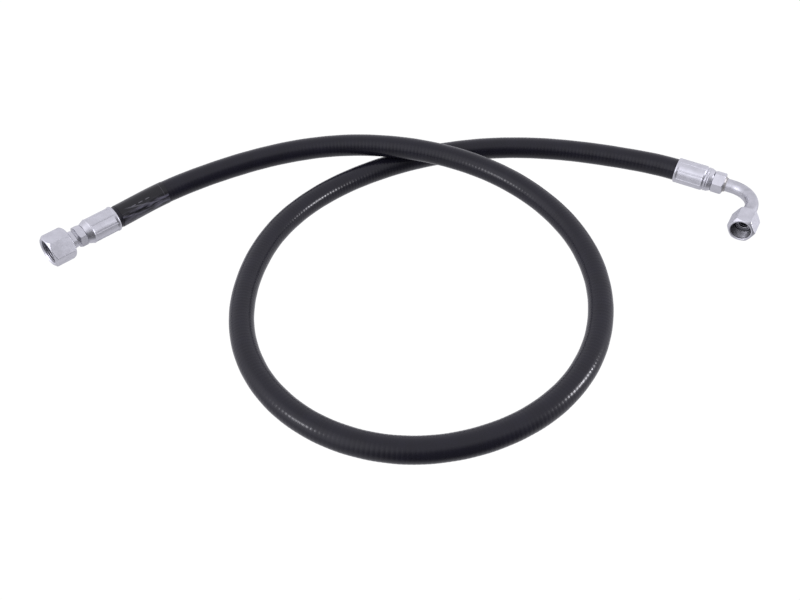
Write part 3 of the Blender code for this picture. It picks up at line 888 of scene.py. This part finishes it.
class HOSE_OT_ferrules(bpy.types.Operator):
    """Adds the two crimped ferrules that hold the hose on its stems"""
    bl_idname = "hose.add_ferrules"
    bl_label = "Ferrules"

    def execute(self, context):
        settings = context.scene.fitting_settings
        steel = zinc_plated_steel("bright_zinc_plated_crimped_steel", settings, 0.8, 0.02)
        ridge, edge = settings.ridge_height / MM, settings.edge / MM
        front = STRAIGHT_COLLAR[0] - GAP
        outline = [(9.8, front), (11.0, front - 2.7), (12.1, front - 5.4)]
        place, direction = inlet("straight")
        straight = add_ferrule(
            "straight_crimped_ferrule", outline, front, STRAIGHT_LIP, 28.5, place, direction,
            ridge, edge, steel,
        )
        hand_over(straight, ROOT, "zinc_plate", "straight_ferrule")
        front = ELBOW_COLLAR[0] - GAP
        outline = [
            (10.2, front), (10.7, front - 1.0), (11.7, front - 3.3), (12.1, front - 4.2),
            (11.4, front - 5.0), (12.1, front - 5.8), (12.1, front - 6.7),
            (11.4, front - 7.5), (12.0, front - 8.3),
        ]
        place, direction = inlet("elbow")
        elbow = add_ferrule(
            "elbow_crimped_ferrule", outline, front, ELBOW_LIP, 29.0, place, direction, ridge, edge, steel,
        )
        hand_over(elbow, ROOT, "zinc_plate", "elbow_ferrule")
        return {"FINISHED"}


class HOSE_OT_stems(bpy.types.Operator):
    """Adds the two barbed stems with their hexagon collars"""
    bl_idname = "hose.add_stems"
    bl_label = "Stems"

    def execute(self, context):
        settings = context.scene.fitting_settings
        steel, edge, corner = turned_steel(settings), settings.edge / MM, settings.corner / MM
        collar_end = STRAIGHT_COLLAR[1]
        flange_back = STRAIGHT_FACE - 4.4
        front = [
            (BORE_RADIUS, STRAIGHT_FACE), (STRAIGHT_FACE_RADIUS, STRAIGHT_FACE),
            (STRAIGHT_FACE_RADIUS, flange_back),
            (NECK_RADIUS, flange_back - (STRAIGHT_FACE_RADIUS - NECK_RADIUS)),
            (NECK_RADIUS, collar_end + 2.6), (GROOVE_RADIUS, collar_end + 2.0), (GROOVE_RADIUS, collar_end),
        ]
        place, direction = inlet("straight")
        stem = add_stem(
            "straight_barbed_stem", front, STRAIGHT_LIP, STRAIGHT_COLLAR, STRAIGHT_COLLAR_TURN,
            place, direction, edge, corner, steel,
        )
        hand_over(stem, ROOT, "zinc_plate", "straight_stem")
        collar_end = ELBOW_COLLAR[1]
        floor = collar_end - SOCKET_DEPTH
        front = [(BORE_RADIUS, floor), (SOCKET_RADIUS, floor), (SOCKET_RADIUS, collar_end)]
        place, direction = inlet("elbow")
        stem = add_stem(
            "elbow_barbed_stem", front, ELBOW_LIP, ELBOW_COLLAR, ELBOW_COLLAR_TURN, place, direction,
            edge, corner, steel,
        )
        hand_over(stem, ROOT, "zinc_plate", "elbow_stem")
        return {"FINISHED"}


class HOSE_OT_elbow_tube(bpy.types.Operator):
    """Adds the elbow's bent tube, its head and the two braze fillets that join them"""
    bl_idname = "hose.add_elbow_tube"
    bl_label = "Elbow tube"

    def execute(self, context):
        settings = context.scene.fitting_settings
        edge = settings.edge / MM
        drawn = zinc_plated_steel("bright_zinc_plated_drawn_tube", settings, 2.5, 0.02, grime=0.16)
        tube = add_bent_tube("bent_elbow_tube", drawn)
        hand_over(tube, ROOT, "zinc_plate", "elbow_tube")
        place, direction = inlet("elbow")
        braze = braze_metal(settings)
        near, far, inner = ELBOW_COLLAR[1] + 0.05, ELBOW_COLLAR[1] + 2.5, TUBE_RADIUS + 0.15
        fillet = [
            (inner, far), (inner + 0.35, far), (inner + 0.55, near + 1.3), (inner + 1.1, near + 0.55),
            (8.8, near), (inner, near),
        ]
        ring = add_round("stem_braze_fillet", fillet, place, direction, edge, braze, 0.06)
        hand_over(ring, ROOT, "braze", "elbow_stem_braze")
        corner = np.array(place) + direction * ELBOW_CORNER
        outward = np.array(JOINTS[ELBOW_NUT["joint"]]["axis"])
        start, end = HEAD_SPAN
        profile = [
            (BORE_RADIUS, end), (HEAD_RADIUS - 0.5, end), (HEAD_RADIUS, end - 0.5),
            (HEAD_RADIUS, start + 0.8),
            (HEAD_RADIUS - 0.8, start), (SOCKET_RADIUS, start), (SOCKET_RADIUS, HEAD_SOCKET_END),
            (BORE_RADIUS, HEAD_SOCKET_END),
        ]
        head = add_round("flat_faced_head", profile, corner, outward, edge, turned_steel(settings))
        hand_over(head, ROOT, "zinc_plate", "elbow_head")
        start, end = HEAD_BRAZE
        fillet = [(7.9, end), (inner + 0.4, start), (inner, start), (inner, end)]
        ring = add_round("head_braze_fillet", fillet, corner, outward, edge, braze, 0.05)
        hand_over(ring, ROOT, "braze", "elbow_head_braze")
        return {"FINISHED"}


class HOSE_OT_swivel_nuts(bpy.types.Operator):
    """Adds the two swivel nuts with their internal threads"""
    bl_idname = "hose.add_swivel_nuts"
    bl_label = "Swivel nuts"

    def execute(self, context):
        settings = context.scene.fitting_settings
        edge, corner = settings.edge / MM, settings.corner / MM
        # Each nut's bore gets painted shade from bright_lead mm behind its mouth, at the strength that
        # follows.
        for side, sizes, bright_lead, bore_shade_strength in (
            ("straight", STRAIGHT_NUT, 2.2, 0.5), ("elbow", ELBOW_NUT, 0.6, 1.0),
        ):
            joint = JOINTS[sizes["joint"]]
            bore = joint["pos_m"], joint["axis"], sizes["mouth"] + 0.05, bright_lead, bore_shade_strength
            name = f"bright_zinc_plated_{side}_hexagon_bar"
            steel = zinc_plated_steel(name, settings, 1.2, 0.02, bore=bore)
            nut = add_nut(f"{side}_threaded_nut", sizes, edge, corner, steel)
            hand_over(nut, f"{side}_nut", "zinc_plate", f"{side}_swivel_nut")
        return {"FINISHED"}


class HOSE_OT_label(bpy.types.Operator):
    """Adds the clear label film round the hose beside the straight fitting"""
    bl_idname = "hose.add_label"
    bl_label = "Label film"

    def execute(self, context):
        lengths = np.linspace(*LABEL_SPAN, 28)
        outer = np.full(len(lengths), LABEL_RADIUS)
        film = add_hose_tube(
            "clear_label_film", lengths, outer, lengths, LABEL_RADIUS - LABEL_THICKNESS, 48,
            clear_film_over_rubber(), hose_end(),
        )
        hand_over(film, ROOT, "label_film", "label_film")
        return {"FINISHED"}


class HOSE_OT_inner_layers(bpy.types.Operator):
    """Adds the layers under the hose's cover: two wire braids, the rubber between them and the tube"""
    bl_idname = "hose.add_inner_layers"
    bl_label = "Inner layers"

    def execute(self, context):
        end = hose_end()
        materials = {
            "braid": brass_coated_wire_braid(),
            "separator": plain_rubber("matt_separator_rubber", "#201f1e", 0.75, 3.0),
            "inner_tube": plain_rubber("oil_resistant_nitrile_tube", "#161617", 0.5, 4.0),
        }
        lengths = np.linspace(-HOSE_DEPTHS[0], end, 220)
        for name, node, radius, wall, material, slot in INNER_LAYERS:
            outer = np.full(len(lengths), radius)
            finish = materials[material]
            layer = add_hose_tube(name, lengths, outer, lengths, radius - wall, 24, finish, end)
            hand_over(layer, ROOT, slot, node)
        return {"FINISHED"}


class HOSE_OT_cover(bpy.types.Operator):
    bl_idname = "hose.add_cover"
    bl_label = "Hose cover"

    def execute(self, context):
        settings = context.scene.hose_settings
        end = hose_end()
        radius, pitch, depth = settings.diameter / 2 / MM, settings.rib_pitch / MM, settings.rib_depth / MM
        ribs = int((end + HOSE_DEPTHS[0]) / pitch)
        lengths = -HOSE_DEPTHS[0] + np.arange(ribs * 6) * pitch / 6
        # A rib is a parabola across its pitch, about a mean of 0, and the hose swells a little over
        # 61 and 23 mm as an extruded cover does.
        wave = 1 / 3 - (np.tile(np.arange(6), ribs) / 3 - 1) ** 2
        swell = 0.04 * np.sin(lengths * FULL_TURN / 61) + 0.03 * np.sin(lengths * FULL_TURN / 23 + 1)
        outer = radius + depth * wave + swell
        bore_lengths = np.linspace(lengths[0], lengths[-1], 160)
        cover = add_hose_tube(
            "ribbed_hose_cover", lengths, outer, bore_lengths, radius - settings.wall / MM, settings.sides,
            wrapped_nitrile_rubber(settings, (end - HOSE_DEPTHS[1]) * MM), end,
        )
        hand_over(cover, ROOT, "cover_rubber", "hose_cover")
        path = hose_line(np.linspace(lengths[0], lengths[-1], 220)) * MM
        return {"FINISHED"}


class HOSE_OT_stage(bpy.types.Operator):
    """Adds the floor, the lights and the camera"""
    bl_idname = "hose.add_stage"
    bl_label = "Stage"

    def execute(self, context):
        settings = context.scene.stage_settings
        add_floor(settings)
        add_surround(settings)
        add_lamps()
        add_camera(settings)
        return {"FINISHED"}


def add_floor(settings):
    """A white sweep: height is 0 out to a radius, then a quarter circle, then a wall, turned round Z.

    Only the camera sees it, and it gives its own even light, so nothing casts a shadow on it.
    """
    reach, bend, height = 2.6, 1.0, 4.0
    curve = np.linspace(0, math.pi / 2, 13)
    radius = np.concatenate([[0.0], reach + bend * np.sin(curve), [reach + bend]])
    level = np.concatenate([[0.0], bend * (1 - np.cos(curve)), [height]]) - 0.1 * MM
    angles = np.linspace(0, FULL_TURN, 64, endpoint=False)
    points = np.stack([
        radius[:, None] * np.cos(angles), radius[:, None] * np.sin(angles), level[:, None] + 0 * angles,
    ], axis=-1)
    rows, columns = points.shape[:2]
    here = np.arange(rows - 1)[:, None] * columns + np.arange(columns)
    beside = np.arange(rows - 1)[:, None] * columns + (np.arange(columns) + 1) % columns
    faces = np.stack([here, beside, beside + columns, here + columns], axis=-1).reshape(-1, 4)
    mesh = bpy.data.meshes.new("white_sweep")
    mesh.from_pydata(points.reshape(-1, 3).tolist(), [], faces.tolist())
    mesh.materials.append(white_sweep(settings))
    floor = bpy.data.objects.new("white_sweep", mesh)
    floor.visible_diffuse = floor.visible_glossy = floor.visible_shadow = False
    bpy.context.scene.collection.objects.link(floor)


# Lamps: name, place in metres, width in metres, watts.
LAMPS = (
    ("right_lamp", (1.47, -0.22, 0.42), 0.24, 9.0),
    ("left_lamp", (-1.3, -0.78, 0.62), 0.3, 4.5),
)
LIGHT_COLOUR = "#f4f3fa"


def aim(place, target):
    """A transform that stands at place and looks at target with its -Z axis."""
    place, target = np.array(place, dtype=float), np.array(target, dtype=float)
    back = place - target
    back /= np.linalg.norm(back)
    right = np.cross((0, 0, 1), back)
    right /= np.linalg.norm(right)
    turn = Matrix(np.array([right, np.cross(back, right), back]).T.tolist()).to_4x4()
    return Matrix.Translation(place.tolist()) @ turn


def add_lamps():
    """Two small lamps, at the camera's right and left, which draw the bright beads on the ribs."""
    for name, place, width, watts in LAMPS:
        light = bpy.data.lights.new(name, "AREA")
        light.shape = "DISK"
        light.size = width
        light.energy = watts
        light.color = linear(LIGHT_COLOUR)[:3]
        lamp = bpy.data.objects.new(name, light)
        lamp.matrix_world = aim(place, (0, 0, 0))
        bpy.context.scene.collection.objects.link(lamp)


# Directions from the object to the middle of the tent's opening and of the soft box at its left.
OPENING = (0.36, -0.93, -0.08)
SOFT_BOX = (-0.76, -0.4, 0.5)


def add_surround(settings):
    """Even light from a white tent, dimmer from below, with an opening and a soft box.

    Its strength falls as the direction nears the opening's middle, and again below the horizon, and
    rises towards the soft box's middle.
    """
    world = bpy.data.worlds.new("light_tent")
    bpy.context.scene.world = world
    world.use_nodes = True
    tree = world.node_tree
    direction = add_node(tree, "TexCoord", output="Generated")
    shares = []
    for middle, start, end, outside, inside in (
        (OPENING, 0.5, 0.94, 1.0, 0.14), (SOFT_BOX, 0.66, 0.98, 0.0, 0.7),
    ):
        nearness = add_node(tree, "VectorMath", (direction, middle), "Value", operation="DOT_PRODUCT")
        spread = nearness, start, end, outside, inside
        shares.append(add_node(tree, "MapRange", spread, interpolation_type="SMOOTHSTEP"))
    height = add_node(tree, "SeparateXYZ", (direction,), "Z")
    below = add_node(tree, "MapRange", (height, -0.3, 0.02, settings.floor_share, 1.0))
    share = add_node(tree, "Math", (shares[0], below), operation="MULTIPLY")
    share = add_node(tree, "Math", (share, shares[1]), operation="ADD")
    strength = add_node(tree, "Math", (share, settings.tent_strength), operation="MULTIPLY")
    surround = tree.nodes["Background"]
    fill_inputs(tree, surround, {"Color": linear(LIGHT_COLOUR), "Strength": strength})


def add_camera(settings):
    """A camera level with the X axis, tilted down, then turned about its line of sight."""
    data = bpy.data.cameras.new("camera")
    data.sensor_width = 36.0
    data.lens = settings.lens
    camera = bpy.data.objects.new("camera", data)
    look = Matrix.Rotation(math.pi / 2 - settings.camera_tilt, 4, "X")
    roll = Matrix.Rotation(settings.camera_roll, 4, "Z")
    camera.matrix_world = Matrix.Translation(settings.camera_place) @ look @ roll
    bpy.context.scene.collection.objects.link(camera)
    bpy.context.scene.camera = camera
    bpy.context.scene.view_settings.view_transform = "Standard"


class HOSE_PT_panel(bpy.types.Panel):
    """Lists the pieces in the order in which they are added"""
    bl_idname = "HOSE_PT_panel"
    bl_label = "Hose Assembly"
    bl_space_type = "VIEW_3D"
    bl_region_type = "UI"
    bl_category = "Hose Assembly"

    def draw(self, context):
        layout = self.layout
        for operator in OPERATORS:
            layout.operator(operator.bl_idname)
        for holder in SETTINGS:
            box = layout.box()
            group = getattr(context.scene, holder)
            for name in group.bl_rna.properties.keys():
                if name not in ("rna_type", "name"):
                    box.prop(group, name)


OPERATORS = (
    HOSE_OT_ferrules, HOSE_OT_stems, HOSE_OT_elbow_tube, HOSE_OT_swivel_nuts, HOSE_OT_label,
    HOSE_OT_inner_layers, HOSE_OT_cover, HOSE_OT_stage,
)
SETTINGS = {
    "hose_settings": HoseSettings, "fitting_settings": FittingSettings, "stage_settings": StageSettings,
}


def register():
    for item in (*SETTINGS.values(), *OPERATORS, HOSE_PT_panel):
        bpy.utils.register_class(item)
    for name, group in SETTINGS.items():
        setattr(bpy.types.Scene, name, PointerProperty(type=group))


def unregister():
    for name in SETTINGS:
        delattr(bpy.types.Scene, name)
    for item in reversed((*SETTINGS.values(), *OPERATORS, HOSE_PT_panel)):
        bpy.utils.unregister_class(item)


def main():
    register()
    for operator in OPERATORS:
        getattr(bpy.ops.hose, operator.bl_idname.removeprefix("hose."))()


if __name__ == "__main__":
    main()
